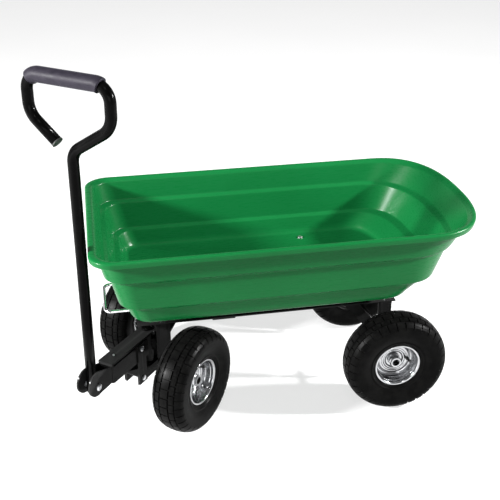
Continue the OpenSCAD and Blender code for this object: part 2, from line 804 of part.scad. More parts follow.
module tyre() {
    section = concat([[tyre_bead_r, -25.2], [tyre_bead_r + 8, -29]], tyre_section,
                     [[tyre_bead_r + 8, 29], [tyre_bead_r, 25.2]]);
    color(rubber) rotate_extrude($fn = 96) polygon(section);
}

// Pressed steel rim: lips, barrel and a dished disc, as [radius, distance from the middle plane]
module rim() {
    color(steel) rotate_extrude($fn = 96) polygon([
        [15.2, -7], [20, -7], [25, -2], [36, -2], [44, -10], [44, -21], [50, -23], [50, -28],
        [rim_r, -30], [rim_r, -28], [tyre_bead_r - 0.2, -25.5], [tyre_bead_r - 0.2, 25.5], [rim_r, 28],
        [rim_r, 30], [52, 28.5], [49, 24], [48, -5], [38, 1.5], [23.5, 1.5], [19, -3], [15.2, -3]]);
}

// Hub tube with a bearing housing at each end
module hub() {
    color(steel) rotate_extrude($fn = 64) polygon([
        [axle_r + run, -wheel_hub_in], [12.5, -wheel_hub_in], [12.5, -20], [15, -18], [15, 10],
        [12.5, 12], [12.5, wheel_hub_out], [axle_r + 2.2, wheel_hub_out],
        [axle_r + 2.2, wheel_hub_out - 8.5 - clip_out + 0.2],
        [axle_r + run, wheel_hub_out - 8.5 - clip_out + 0.2]]);
}

// Rubber valve standing out of the rim's dish, turned back from the top by the given angle
module valve(turn) {
    color(black) rotate([0, 0, -turn]) translate([0, -33, 1.5]) {
        cylinder(r = 4.5, h = 4);
        translate([0, 0, 2]) rotate([12, 0, 0]) {
            cylinder(r = 3, h = 12);
            translate([0, 0, 10]) cylinder(r = 3.6, h = 6);
        }
    }
}

tub();
tub_bolts();
hinge_bracket(1);  // hinge_bracket_left
hinge_bracket(-1);  // hinge_bracket_right
latch_striker();
rail(1);  // rail_left
rail(-1);  // rail_right
front_crossmember();
middle_plate();
rear_crossmember();
front_post(1);  // front_post_left
front_post(-1);  // front_post_right
rear_post(1);  // rear_post_left
rear_post(-1);  // rear_post_right
rear_brace(1);  // rear_brace_left
rear_brace(-1);  // rear_brace_right
front_axle_beam();
rear_axle();
rear_axle_clips();
frame_bolts();
hinge_pins();
kingpins();
latch_spring();
release_loop();
latch_hook();
tongue_channel();
tongue_strap();
tongue_clevis();
tongue_link(1);  // tongue_link_left
tongue_link(-1);  // tongue_link_right
tongue_foot();
tongue_bolts();
steering_bolt();
handle_bolt();
handle_tube();
handle_grip();
handle_end_cap();
knuckle(1);  // knuckle_left
knuckle(-1);  // knuckle_right
spindle_clip(1);  // spindle_clip_left
spindle_clip(-1);  // spindle_clip_right
tie_rod(1);  // tie_rod_left
tie_rod(-1);  // tie_rod_right
rear_wheel_frame(1) tyre();  // tyre_rear_left
rear_wheel_frame(1) rim();  // rim_rear_left
rear_wheel_frame(1) hub();  // hub_rear_left
rear_wheel_frame(1) valve(90);  // valve_rear_left
rear_wheel_frame(-1) tyre();  // tyre_rear_right
rear_wheel_frame(-1) rim();  // rim_rear_right
rear_wheel_frame(-1) hub();  // hub_rear_right
rear_wheel_frame(-1) valve(150);  // valve_rear_right
front_wheel_frame(1) tyre();  // tyre_front_left
front_wheel_frame(1) rim();  // rim_front_left
front_wheel_frame(1) hub();  // hub_front_left
front_wheel_frame(1) valve(50);  // valve_front_left
front_wheel_frame(-1) tyre();  // tyre_front_right
front_wheel_frame(-1) rim();  // rim_front_right
front_wheel_frame(-1) hub();  // hub_front_right
front_wheel_frame(-1) valve(200);  // valve_front_right
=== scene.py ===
import json
import math

import bmesh
import bpy
from mathutils import Matrix, Vector


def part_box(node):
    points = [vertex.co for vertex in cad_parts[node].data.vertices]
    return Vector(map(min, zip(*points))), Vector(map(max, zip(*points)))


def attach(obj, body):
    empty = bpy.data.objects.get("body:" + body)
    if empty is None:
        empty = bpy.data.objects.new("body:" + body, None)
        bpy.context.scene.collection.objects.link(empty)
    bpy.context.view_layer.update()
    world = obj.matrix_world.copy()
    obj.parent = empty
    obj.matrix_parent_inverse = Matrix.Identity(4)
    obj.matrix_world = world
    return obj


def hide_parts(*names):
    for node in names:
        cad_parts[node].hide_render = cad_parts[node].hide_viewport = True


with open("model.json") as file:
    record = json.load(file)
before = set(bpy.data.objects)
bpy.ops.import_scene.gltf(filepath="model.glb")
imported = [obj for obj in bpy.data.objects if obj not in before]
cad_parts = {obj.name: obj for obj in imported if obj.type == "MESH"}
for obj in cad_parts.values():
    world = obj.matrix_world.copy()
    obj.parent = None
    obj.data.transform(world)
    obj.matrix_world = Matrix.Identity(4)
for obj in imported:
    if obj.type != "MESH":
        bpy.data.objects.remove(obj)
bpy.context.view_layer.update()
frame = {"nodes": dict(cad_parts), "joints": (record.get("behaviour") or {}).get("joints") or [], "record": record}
nodes = frame["nodes"]
record = frame["record"]
joints = {j["name"]: j for j in frame["joints"]}
MM = 0.001                                             # named sizes are in millimetres

# ---------- where things are, from the frame ----------

AXLE_LOW, AXLE_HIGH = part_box("rear_axle")
ORIGIN = Vector(((AXLE_LOW.x + AXLE_HIGH.x) / 2, (AXLE_LOW.y + AXLE_HIGH.y) / 2, 0.0))
TUB_LOW, TUB_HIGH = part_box("tub")


def from_cart(x, y, z):
    """A point given in millimetres from the middle of the rear axle on the ground."""
    return ORIGIN + Vector((x, y, z)) * MM


# ---------- mesh helpers ----------

def new_object(name, mesh, body, node, slot, place=None):
    """A piece that rides on a body and is shown in place of its CAD node."""
    obj = bpy.data.objects.new(name, mesh)
    bpy.context.scene.collection.objects.link(obj)
    if place is not None:
        obj.matrix_world = place
    if not mesh.materials:
        mesh.materials.append(MATERIALS[slot])
    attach(obj, body)
    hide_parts(node)
    return obj


def mesh_from(name, points, faces, smooth=True):
    mesh = bpy.data.meshes.new(name)
    mesh.from_pydata([tuple(p) for p in points], [], faces)
    mesh.validate()
    for poly in mesh.polygons:
        poly.use_smooth = smooth
    mesh.update()
    return mesh


def grid_faces(rows, count, closed_rows=False, closed_count=True):
    """Quads through a stack of rings, each of count points."""
    faces = []
    for j in range(rows if closed_rows else rows - 1):
        k = (j + 1) % rows
        for i in range(count if closed_count else count - 1):
            n = (i + 1) % count
            faces.append((j * count + i, j * count + n, k * count + n, k * count + i))
    return faces


def corner_share(radius, length):
    """The part of a side that its corner's curve takes up, never quite half of it."""
    return min(0.45, radius / max(length, 1e-9))


def corner_curve(a, p, b, steps):
    """Points from a to b on the curve that rounds corner p."""
    parts = [s / steps for s in range(steps + 1)]
    return [a * (1 - t) ** 2 + p * 2 * t * (1 - t) + b * t**2 for t in parts]


def rounded(points, radius, steps):
    """A closed outline with each corner replaced by a short curve."""
    out = []
    for i, p in enumerate(points):
        p = Vector(p)
        before, after = Vector(points[i - 1]), Vector(points[(i + 1) % len(points)])
        a = p + (before - p) * corner_share(radius, (before - p).length)
        b = p + (after - p) * corner_share(radius, (after - p).length)
        out += corner_curve(a, p, b, steps)
    return out


def lathe(name, profile, count):
    """Turns a closed outline of (radius, height) points in millimetres about Z."""
    points = []
    for r, z in profile:
        for i in range(count):
            a = 2 * math.pi * i / count
            points.append((r * math.cos(a) * MM, r * math.sin(a) * MM, z * MM))
    mesh = mesh_from(name, points, grid_faces(len(profile), count, closed_rows=True))
    outward(mesh)
    return mesh


def outward(mesh):
    """Turns every face of a closed skin to look outward."""
    work = bmesh.new()
    work.from_mesh(mesh)
    bmesh.ops.recalc_face_normals(work, faces=work.faces)
    work.to_mesh(mesh)
    work.free()


def sweep(path, radii, count, close_ends=True, side=None):
    """Tube along a path, with one radius for each point; side is where each ring starts."""
    rings = []
    for i, p in enumerate(path):
        ahead = path[min(i + 1, len(path) - 1)] - path[max(i - 1, 0)]
        tangent = ahead.normalized()
        if side is None:
            side = tangent.orthogonal().normalized()
        side = (side - tangent * side.dot(tangent)).normalized()
        up = tangent.cross(side)
        for k in range(count):
            a = 2 * math.pi * k / count
            rings.append(p + radii[i] * (math.cos(a) * side + math.sin(a) * up))
    faces = grid_faces(len(path), count)
    if close_ends:
        faces.append(tuple(range(count))[::-1])
        faces.append(tuple(range((len(path) - 1) * count, len(path) * count)))
    return rings, faces


# ---------- materials ----------

class Nodes:
    """Short names for building one material's node tree."""

    def __init__(self, name):
        self.material = bpy.data.materials.new(name)
        self.material.use_nodes = True
        self.tree = self.material.node_tree
        self.shader = self.tree.nodes["Principled BSDF"]
        self.coords = self.add("ShaderNodeTexCoord").outputs["Object"]

    def add(self, kind, **settings):
        node = self.tree.nodes.new(kind)
        for key, value in settings.items():
            setattr(node, key, value)
        return node

    def link(self, output, target):
        self.tree.links.new(output, target)

    def set(self, socket, value):
        self.shader.inputs[socket].default_value = value

    def noise(self, scale, detail=4.0, roughness=0.55, stretch=None):
        node = self.add("ShaderNodeTexNoise")
        node.inputs["Scale"].default_value = scale
        node.inputs["Detail"].default_value = detail
        node.inputs["Roughness"].default_value = roughness
        source = self.coords
        if stretch:
            mapping = self.add("ShaderNodeMapping")
            mapping.inputs["Scale"].default_value = stretch
            self.link(source, mapping.inputs["Vector"])
            source = mapping.outputs["Vector"]
        self.link(source, node.inputs["Vector"])
        return node.outputs["Fac"]

    def spread(self, value, low, high, start=0.3, end=0.7):
        node = self.add("ShaderNodeMapRange")
        node.inputs["From Min"].default_value = start
        node.inputs["From Max"].default_value = end
        node.inputs["To Min"].default_value = low
        node.inputs["To Max"].default_value = high
        self.link(value, node.inputs["Value"])
        return node.outputs["Result"]

    def mix(self, factor, first, second):
        node = self.add("ShaderNodeMix", data_type="RGBA")
        self.link(factor, node.inputs["Factor"])
        for colour, socket in ((first, node.inputs[6]), (second, node.inputs[7])):
            if isinstance(colour, tuple):
                socket.default_value = (*colour, 1.0)
            else:
                self.link(colour, socket)
        return node.outputs[2]

    def bump(self, height, strength, distance, before=None):
        node = self.add("ShaderNodeBump")
        node.inputs["Strength"].default_value = strength
        node.inputs["Distance"].default_value = distance
        self.link(height, node.inputs["Height"])
        if before is not None:
            self.link(before, node.inputs["Normal"])
        return node.outputs["Normal"]

    def wear_and_painted_light(self, start, end):
        """Rises on sharp outer edges, or in the creases where start is above end."""
        point = self.add("ShaderNodeNewGeometry").outputs["Pointiness"]
        return self.spread(point, 0.0, 1.0, start, end)

    def colour(self, output):
        self.link(output, self.shader.inputs["Base Color"])

    def rough(self, output):
        self.link(output, self.shader.inputs["Roughness"])

    def normal(self, output):
        self.link(output, self.shader.inputs["Normal"])


def grey(value):
    return (value, value, value)


def moulded_green():
    """Injection-moulded plastic: fine grain, faint flow marks, scuffs, painted shade in the creases, painted
    highlight on the edges.
    """
    n = Nodes("moulded_green")
    broad = n.noise(3.0, 3.0)
    grain = n.noise(1400.0, 2.0, 0.6)
    scuff = n.noise(38.0, 8.0, 0.7, (1.0, 4.0, 9.0))
    base = n.mix(n.spread(broad, 0.0, 1.0), (0.0025, 0.073, 0.017), (0.0033, 0.086, 0.021))
    base = n.mix(n.spread(scuff, 0.0, 0.10, 0.58, 0.75), base, (0.014, 0.12, 0.042))
    # Painted shade: the creases under the ledges and the rim are tinted nearly black-green, where the light does
    # not reach.
    base = n.mix(n.wear_and_painted_light(0.49, 0.43), base, (0.0008, 0.020, 0.0045))
    # Painted highlight: the rim's roll and the ledge edges are tinted pale green in place of their bright edge
    # lines.
    base = n.mix(n.wear_and_painted_light(0.52, 0.60), base, (0.022, 0.19, 0.068))
    n.colour(base)
    n.rough(n.spread(scuff, 0.24, 0.36, 0.35, 0.7))
    wavy = n.bump(n.noise(9.0, 2.0), 0.10, 0.004)
    n.normal(n.bump(grain, 0.10, 0.00025, wavy))
    n.set("IOR", 1.49)
    n.set("Specular IOR Level", 0.10)
    return n.material


def black_paint():
    """Glossy black powder coat with orange peel, dust and worn edges."""
    n = Nodes("black_paint")
    dust = n.noise(24.0, 6.0, 0.65)
    peel = n.noise(260.0, 2.0)
    base = n.mix(n.spread(dust, 0.0, 1.0, 0.45, 0.75), grey(0.0008), grey(0.0022))
    n.colour(n.mix(n.wear_and_painted_light(0.57, 0.68), base, grey(0.025)))
    n.rough(n.spread(dust, 0.13, 0.28, 0.35, 0.75))
    n.normal(n.bump(peel, 0.10, 0.0003))
    n.set("Specular IOR Level", 0.035)
    return n.material


def zinc():
    """Bright zinc plate, slightly clouded."""
    n = Nodes("zinc")
    cloud = n.noise(90.0, 5.0, 0.6)
    n.colour(n.mix(n.spread(cloud, 0.0, 1.0), (0.50, 0.51, 0.52), (0.72, 0.73, 0.75)))
    n.rough(n.spread(cloud, 0.22, 0.42))
    n.normal(n.bump(n.noise(900.0, 3.0), 0.08, 0.0002))
    n.set("Metallic", 1.0)
    return n.material


def bright_wire():
    """Polished plated wire."""
    n = Nodes("bright_wire")
    streak = n.noise(60.0, 4.0, 0.6, (1.0, 0.2, 1.0))
    n.colour(n.mix(n.spread(streak, 0.0, 1.0), (0.78, 0.79, 0.80), (0.90, 0.91, 0.92)))
    n.rough(n.spread(streak, 0.07, 0.2))
    n.normal(n.bump(n.noise(420.0, 2.0), 0.05, 0.0002))
    n.set("Metallic", 1.0)
    return n.material


def rim_silver():
    """Bright pressed steel, slightly clouded and uneven."""
    n = Nodes("rim_silver")
    cloud = n.noise(45.0, 5.0, 0.6)
    n.colour(n.mix(n.spread(cloud, 0.0, 1.0), (0.36, 0.36, 0.37), (0.46, 0.47, 0.48)))
    n.rough(n.spread(cloud, 0.10, 0.18))
    n.normal(n.bump(n.noise(40.0, 2.0), 0.012, 0.0003))
    n.set("Metallic", 1.0)
    return n.material


def tyre_rubber():
    """Moulded rubber: matt, a little dusty, with worn edges."""
    n = Nodes("tyre_rubber")
    dust = n.noise(30.0, 7.0, 0.7)
    fine = n.noise(900.0, 3.0, 0.6)
    base = n.mix(n.spread(dust, 0.0, 1.0, 0.4, 0.75), grey(0.0011), (0.0036, 0.0036, 0.0034))
    n.colour(n.mix(n.wear_and_painted_light(0.55, 0.66), base, grey(0.009)))
    n.rough(n.spread(dust, 0.28, 0.46))
    n.normal(n.bump(fine, 0.18, 0.0003))
    n.set("Specular IOR Level", 0.025)
    return n.material


def foam():
    """Closed-cell foam sleeve with a skin of fine pores."""
    n = Nodes("foam")
    pores = n.add("ShaderNodeTexVoronoi")
    pores.inputs["Scale"].default_value = 900.0
    n.link(n.coords, pores.inputs["Vector"])
    soft = n.noise(70.0, 4.0)
    n.colour(n.mix(n.spread(soft, 0.0, 1.0), (0.010, 0.009, 0.013), (0.017, 0.015, 0.021)))
    n.rough(n.spread(soft, 0.40, 0.56))
    lumps = n.bump(soft, 0.12, 0.0012)
    n.normal(n.bump(pores.outputs["Distance"], 0.25, 0.0004, lumps))
    n.set("Sheen Weight", 0.018)
    n.set("Sheen Roughness", 0.4)
    n.set("Sheen Tint", (0.75, 0.75, 0.95, 1.0))
    n.set("Specular IOR Level", 0.06)
    return n.material


def black_plastic():
    """Smooth black plastic and valve rubber."""
    n = Nodes("black_plastic")
    soft = n.noise(120.0, 4.0)
    n.colour(n.mix(n.spread(soft, 0.0, 1.0), grey(0.008), grey(0.02)))
    n.rough(n.spread(soft, 0.3, 0.5))
    n.normal(n.bump(n.noise(700.0, 2.0), 0.1, 0.0002))
    return n.material


def studio_floor():
    """Plain pale floor that glows a little, so that it stays white behind the cart."""
    n = Nodes("studio_floor")
    soft = n.noise(1.5, 2.0)
    n.colour(n.mix(n.spread(soft, 0.0, 1.0), grey(0.30), grey(0.32)))
    n.set("Emission Color", (1.0, 1.0, 1.0, 1.0))
    n.set("Emission Strength", 0.7)
    n.rough(n.spread(soft, 0.55, 0.7))
    n.normal(n.bump(n.noise(60.0, 2.0), 0.02, 0.001))
    return n.material


MATERIALS = {
    "green_plastic": moulded_green(),
    "black_paint": black_paint(),
    "zinc": zinc(),
    "bright_wire": bright_wire(),
    "rim_silver": rim_silver(),
    "tyre_rubber": tyre_rubber(),
    "foam": foam(),
    "black_plastic": black_plastic(),
}

SLOTS = {s["node"]: s["material_slot"] for s in record["subparts"]}

# Width of the broken edge on each kind of piece, in millimetres
EDGE = {"black_paint": 0.6, "zinc": 0.35, "rim_silver": 0.3, "black_plastic": 0.3}
EDGE_ANGLE = math.radians(32)

for name, obj in nodes.items():
    obj.data.materials.clear()
    obj.data.materials.append(MATERIALS[SLOTS[name]])
    if SLOTS[name] in EDGE:
        bevel = obj.modifiers.new("edge", "BEVEL")
        bevel.width = EDGE[SLOTS[name]] * MM
        bevel.segments = 2
        bevel.limit_method = "ANGLE"
        bevel.angle_limit = EDGE_ANGLE
        bevel.harden_normals = True


# ---------- tub ----------

WALL = 4.0
FLOOR_Z = 300.0                                        # underside of the floor
RIM_Z = TUB_HIGH.z / MM
RIM_HALF = (TUB_HIGH.y - TUB_LOW.y) / 2 / MM
FRONT_X = (TUB_HIGH.x - ORIGIN.x) / MM
REAR = (ORIGIN.x - TUB_LOW.x) / MM
BOW_STEPS = 120
CORNER_STEPS = 16
CURVE_STEPS = 4
LIP = 0.955                                            # level at which the wall turns into the rim
# Levels of the outer face: part of the height, insets of the side, the front and the rear,
# where the bowed rear starts, how square the bow is, and the radius of the front corners
OUTER = [
    (0.000, 59.0, 95.0, 172.0, 50.0, 3.0, 40.0),
    (0.022, 51.0, 88.0, 164.0, 50.0, 3.0, 44.0),
    (0.070, 47.0, 83.0, 158.0, 48.0, 3.0, 46.0),
    (0.235, 41.0, 71.0, 120.0, 20.0, 3.0, 46.0),
    (0.267, 32.0, 58.0, 100.0, 10.0, 3.0, 50.0),
    (0.631, 26.0, 42.0, 64.0, 0.0, 2.7, 50.0),
    (0.668, 18.0, 30.0, 48.0, 0.0, 2.6, 52.0),
    (LIP, 13.5, 18.0, 15.0, -40.0, 2.5, 52.0),
]
# Levels of the rolled rim, from under its edge over to the inner face
RIM = [
    (LIP, 4.5, 6.0, 7.0, -42.0, 2.5, 54.0),
    (0.923, 4.0, 5.0, 6.0, -43.0, 2.5, 54.0),
    (0.918, 1.0, 1.5, 2.0, -45.0, 2.5, 55.0),
    (0.978, 0.0, 0.0, 0.0, -50.0, 2.5, 55.0),
    (1.000, 3.0, 3.5, 2.5, -50.0, 2.5, 54.0),
    (1.000, 9.5, 15.0, 9.0, -48.0, 2.5, 52.0),
]
# Radius of the bend at each level, for the outer face, the rim and the inner face from its top down
BENDS = [3.0, 4.0, 8.0, 2.5, 2.5, 2.5, 2.5, 2.0]
RIM_BENDS = [1.5, 0.8, 0.8, 2.0, 3.0, 3.0]
INNER_BENDS = [3.0, 3.0, 3.0, 3.0, 3.0, 8.0, 4.0, 3.0]


def tub_ring(part, side, front, rear, bow, square, corner, lift=0.0, inset=0.0):
    """One level of the tub as a ring of points."""
    z = FLOOR_Z + (RIM_Z - FLOOR_Z) * part + lift
    half = RIM_HALF - side - inset
    x_front = FRONT_X - front - inset
    x_rear = -(REAR - rear - inset)
    radius = max(corner - inset, 10.0)
    ring = []
    for i in range(BOW_STEPS + 1):
        a = math.pi * i / BOW_STEPS
        c, s = math.cos(a), math.sin(a)
        x = bow - (bow - x_rear) * abs(s) ** (2 / square)
        y = half * math.copysign(abs(c) ** (2 / square), c)
        ring.append(from_cart(x, y, z))
    for sign, first in ((-1, -90), (1, 0)):
        for i in range(CORNER_STEPS + 1):
            a = math.radians(first + i * 90 / CORNER_STEPS)
            x = x_front - radius + radius * math.cos(a)
            y = sign * (half - radius) + radius * math.sin(a)
            ring.append(from_cart(x, y, z))
    return ring


def make_tub():
    levels = [tub_ring(*level) for level in OUTER + RIM]
    for level in reversed(OUTER):
        lift = 0.0 if level[0] == LIP else WALL
        levels.append(tub_ring(*level, lift=lift, inset=WALL))
    radii = BENDS + RIM_BENDS + INNER_BENDS
    count = len(levels[0])
    rings = [levels[0]]
    for j in range(1, len(levels) - 1):
        here, below, above = levels[j], levels[j - 1], levels[j + 1]
        reach = [sum((a - b).length for a, b in zip(here, other)) / count for other in (below, above)]
        share = [corner_share(radii[j] * MM, r) for r in reach]
        curves = []
        for i in range(count):
            a = here[i].lerp(below[i], share[0])
            b = here[i].lerp(above[i], share[1])
            curves.append(corner_curve(a, here[i], b, CURVE_STEPS))
        rings += [list(ring) for ring in zip(*curves)]
    rings.append(levels[-1])
    points = [p for ring in rings for p in ring]
    faces = grid_faces(len(rings), count)
    for start in (0, (len(rings) - 1) * count):
        middle = len(points)
        points.append(sum(points[start:start + count], Vector()) / count)
        for i in range(count):
            faces.append((start + i, start + (i + 1) % count, middle))
    mesh = mesh_from("tub_shell", points, faces)
    outward(mesh)
    new_object("tub_shell", mesh, "tub_body", "tub", "green_plastic")


make_tub()


# ---------- wheels ----------

TYRE_R = 127.5
TYRE_HALF = 42.5
CROWN = 28.0
SQUARE = 2.4
PITCHES = 34                                           # blocks round the tyre
DEPTH = 2.8                                            # of the tread's grooves
TREAD_FROM = 97.0                                      # radius at which the grooves start
TREAD_FADE = 6.0                                       # depth over which they run out
BLOCK_EDGE = 0.03                                      # sloping side of a block, in pitches
RIM_COUNT = 160


def crown_radius(w):
    """Radius of the tyre's rounded section at a distance from its middle."""
    return TYRE_R - CROWN + CROWN * (1 - min(abs(w) / TYRE_HALF, 1.0) ** SQUARE) ** (1 / SQUARE)


def tyre_profile():
    """(radius, width, row) from bead to bead; row 0 is smooth rubber and rows 1 to 3 carry blocks."""
    wall = [(54.3, 24.6), (55.5, 26.0), (57.6, 27.4), (59.0, 29.8), (62.0, 31.6), (64.5, 32.4),
            (65.2, 33.9), (67.6, 34.6), (69.0, 33.9), (72.0, 35.0), (78.0, 37.6),
            (85.0, 39.9), (91.0, 41.1), (95.5, 41.5)]
    tread = [(41.9, 0), (41.5, 3), (39.0, 3), (35.0, 3), (30.5, 3), (27.6, 3), (26.8, 0), (24.9, 0),
             (24.1, 2), (19.0, 2), (13.2, 2), (12.4, 0), (10.4, 0), (9.6, 1), (5.0, 1), (0.0, 1)]
    half = [(r, w, 0) for r, w in wall] + [(crown_radius(w), w, row) for w, row in tread]
    return [(r, -w, row) for r, w, row in half] + [p for p in reversed(half[:-1])]


# Each row's place round the tyre and the gap before its block, in pitches
ROWS = {1: (0.0, 0.10), 2: (0.5, 0.10), 3: (0.0, 0.12)}


def block_height(row, part):
    """How much of the tread's depth stands at this part of a pitch."""
    if row == 0:
        return 0.0
    start, gap = ROWS[row]
    at = (part - start) % 1.0
    if at < gap:
        return 0.0
    if at < gap + BLOCK_EDGE:
        return (at - gap) / BLOCK_EDGE
    if at > 1 - BLOCK_EDGE:
        return (1 - at) / BLOCK_EDGE
    return 1.0


def make_tyre_mesh():
    profile = tyre_profile()
    corners = [0.0, 0.10, 0.13, 0.97, 0.5, 0.60, 0.63, 0.47, 0.12, 0.15]
    between = [0.25, 0.36, 0.74, 0.86]
    parts = sorted(corners + between)
    points = []
    for pitch in range(PITCHES):
        for part in parts:
            a = 2 * math.pi * (pitch + part) / PITCHES
            for r, w, row in profile:
                if r > TREAD_FROM:
                    r -= DEPTH * (1 - block_height(row, part)) * min(1.0, (r - TREAD_FROM) / TREAD_FADE)
                points.append((r * math.cos(a) * MM, r * math.sin(a) * MM, w * MM))
    faces = grid_faces(PITCHES * len(parts), len(profile), True, False)
    mesh = mesh_from("tyre_treaded", points, faces, smooth=False)
    outward(mesh)
    for poly in mesh.polygons:
        poly.use_smooth = math.hypot(poly.center.x, poly.center.y) / MM < TREAD_FROM
    return mesh


# Outline of the pressed rim as (radius, distance towards the outside), from the bore's inner end
RIM_OUTLINE = [
    (15.2, -7.0), (20.0, -7.0), (25.0, -2.0), (36.0, -2.0), (43.8, -10.0), (43.8, -20.6),
    (49.0, -23.0), (49.5, -28.5), (54.5, -30.0), (57.0, -29.0), (54.6, -26.0),
    (53.6, -24.0), (53.6, 24.0), (54.6, 26.0), (57.0, 28.6), (56.2, 30.0),
    (53.0, 29.9), (50.6, 27.0), (50.2, 21.0), (49.0, 19.5), (48.8, 8.0),
    (47.6, 6.5), (47.2, -3.0), (44.0, -5.0), (41.0, -2.5), (38.0, 1.0), (33.0, 1.3),
    (31.0, -0.8), (28.0, -0.8), (26.0, 1.3), (23.6, 0.8), (20.5, -3.2), (15.2, -3.0)]


def wheel_matrix(joint, outer):
    """The wheel's own Z points out of the cart along its axle."""
    place = Vector(joint["pos_m"])
    axis = Vector(joint["axis"]) * outer
    return Matrix.Translation(place) @ axis.to_track_quat("Z", "Y").to_matrix().to_4x4()


TYRE_MESH = make_tyre_mesh()
RIM_MESH = lathe("rim_pressed", rounded(RIM_OUTLINE, 1.2, 3), RIM_COUNT)

for end in ("rear", "front"):
    for side, outer in (("left", 1), ("right", -1)):
        wheel = f"{end}_{side}"
        for part, mesh, slot in (("tyre", TYRE_MESH, "tyre_rubber"), ("rim", RIM_MESH, "rim_silver")):
            place = wheel_matrix(joints[f"{wheel}_spin"], outer)
            new_object(f"{part}_detail_{wheel}", mesh, f"wheel_{wheel}", f"{part}_{wheel}", slot, place)


# ---------- handle ----------

LEAN = math.radians(1.3)
TUBE_R = 12.5
TUBE_COUNT = 48
ACROSS = Vector((1, 0, 0))                             # where every ring round the tube starts
HANDLE_Z = joints["handle_tilt"]["pos_m"][2] / MM
QUARTER = math.pi / 2

# Grip: its middle's height, the radius of the bends beside it, and how far it reaches into each
GRIP_R = 17.2
GRIP_Z = 866.0
GRIP_BEND = 35.0
GRIP_LEFT = math.radians(24)
GRIP_RIGHT = math.radians(41)
GRIP_SKIN = 0.1                                        # by which the sleeve stays inside its CAD solid
GRIP_FIT = 0.1                                         # by which its hole is wider than the tube

# Loop: half its width, its lower bends and their height, the bend above the shaft,
# the slope of the side that leaves the shaft, that of the free end, and the free end's length
LOOP_HALF = 106.0
LOOP_LOW = 806.0
LOOP_BEND = 50.0
SHAFT_BEND = 40.0
RISE = math.radians(32)
FALL = math.radians(38.5)
FREE_LEN = 62.0
SHAFT_FOOT = -16.0                                     # the tube's lower end, below its bolt
TUBE_SKIN = 0.04                                       # by which the tube stays inside its CAD solid


def handle_matrix():
    """X along the tongue, Y to its left, Z up the leaning handle, from the handle's bolt."""
    joint = joints["handle_tilt"]
    left = Vector(joint["axis"])
    ahead = left.cross(Vector((0, 0, 1)))
    turn = Matrix((ahead, left, Vector((0, 0, 1)))).transposed()
    tilt = Matrix.Rotation(-LEAN, 3, "Y")
    return Matrix.Translation(Vector(joint["pos_m"])) @ (turn @ tilt).to_4x4()


def grip_path():
    """Middle line of the grip, from the bend on the left to the bend on the right."""
    straight = LOOP_HALF - GRIP_BEND
    crown = GRIP_Z - HANDLE_Z
    path = []
    for i in range(9):
        a = GRIP_LEFT * (1 - i / 8)
        y, drop = straight + GRIP_BEND * math.sin(a), GRIP_BEND * (1 - math.cos(a))
        path.append(Vector((0, y, crown - drop)))
    for i in range(1, 16):
        path.append(Vector((0, straight - 2 * straight * i / 16, crown)))
    for i in range(15):
        a = GRIP_RIGHT * i / 14
        y, drop = -straight - GRIP_BEND * math.sin(a), GRIP_BEND * (1 - math.cos(a))
        path.append(Vector((0, y, crown - drop)))
    return path


def make_grip():
    path = grip_path()
    first, last = path[0], path[-1]
    out_first = (first - path[1]).normalized()
    out_last = (last - path[-2]).normalized()
    full = GRIP_R - GRIP_SKIN
    mouth = TUBE_R + 2 * GRIP_FIT
    start = 0.05                                       # the sleeve's ends stay this far inside
    # Rounded ends as (distance from the end, radius)
    end_curve = [(0.05, GRIP_R - 1.6), (0.4, GRIP_R - 0.9), (1.4, full)]
    head = [(first - out_first * start, mouth)]
    head += [(first - out_first * (inset + start), r) for inset, r in end_curve]
    tail = [(last - out_last * (inset + start), r) for inset, r in reversed(end_curve)]
    tail.append((last - out_last * start, mouth))
    stations = head + [(p, full) for p in path[1:-1]] + tail
    line = [p * MM for p, _ in stations]
    points, faces = sweep(line, [r * MM for _, r in stations], TUBE_COUNT, False, ACROSS)
    rows, base = len(line), len(points)
    # The hole for the tube, so that the sleeve is a closed skin
    points += sweep(line, [(TUBE_R + GRIP_FIT) * MM] * rows, TUBE_COUNT, False, ACROSS)[0]
    faces += [tuple(base + i for i in f[::-1]) for f in grid_faces(rows, TUBE_COUNT)]
    for row, flip in ((0, True), (rows - 1, False)):
        at = row * TUBE_COUNT
        for i in range(TUBE_COUNT):
            n = (i + 1) % TUBE_COUNT
            quad = (at + i, at + n, base + at + n, base + at + i)
            faces.append(quad if flip else quad[::-1])
    matrix = handle_matrix()
    mesh = mesh_from("foam_grip", [matrix @ p for p in points], faces)
    outward(mesh)
    obj = new_object("foam_grip", mesh, "handle", "handle_grip", "foam")


make_grip()


def bend(centre, radius, start, end, steps=14):
    """Points on an arc across the handle, angles counted from its left."""
    angles = [start + (end - start) * i / steps for i in range(steps + 1)]
    return [Vector((0, centre[0] + radius * math.cos(a), centre[1] + radius * math.sin(a))) for a in angles]


def handle_path():
    """Middle line of the tube, from its foot up the shaft and round the loop to the free end."""
    low = (LOOP_HALF - LOOP_BEND, LOOP_LOW - HANDLE_Z)
    top = (LOOP_HALF - GRIP_BEND, GRIP_Z - GRIP_BEND - HANDLE_Z)
    arm = (low[0] + LOOP_BEND * math.sin(RISE), low[1] - LOOP_BEND * math.cos(RISE))
    knee = arm[1] - arm[0] * math.tan(RISE) - SHAFT_BEND * math.tan((QUARTER - RISE) / 2)
    path = [Vector((0, 0, z)) for z in (SHAFT_FOOT, knee * 0.33, knee * 0.66)]
    path += bend((SHAFT_BEND, knee), SHAFT_BEND, 2 * QUARTER, QUARTER + RISE)
    path += bend(low, LOOP_BEND, RISE - QUARTER, 0.0)
    path += bend(top, GRIP_BEND, 0.0, QUARTER)
    path += bend((-top[0], top[1]), GRIP_BEND, QUARTER, 2 * QUARTER)
    path += bend((-low[0], low[1]), LOOP_BEND, 2 * QUARTER, 3 * QUARTER - FALL)
    path.append(path[-1] + FREE_LEN * Vector((0, math.cos(FALL), -math.sin(FALL))))
    return path


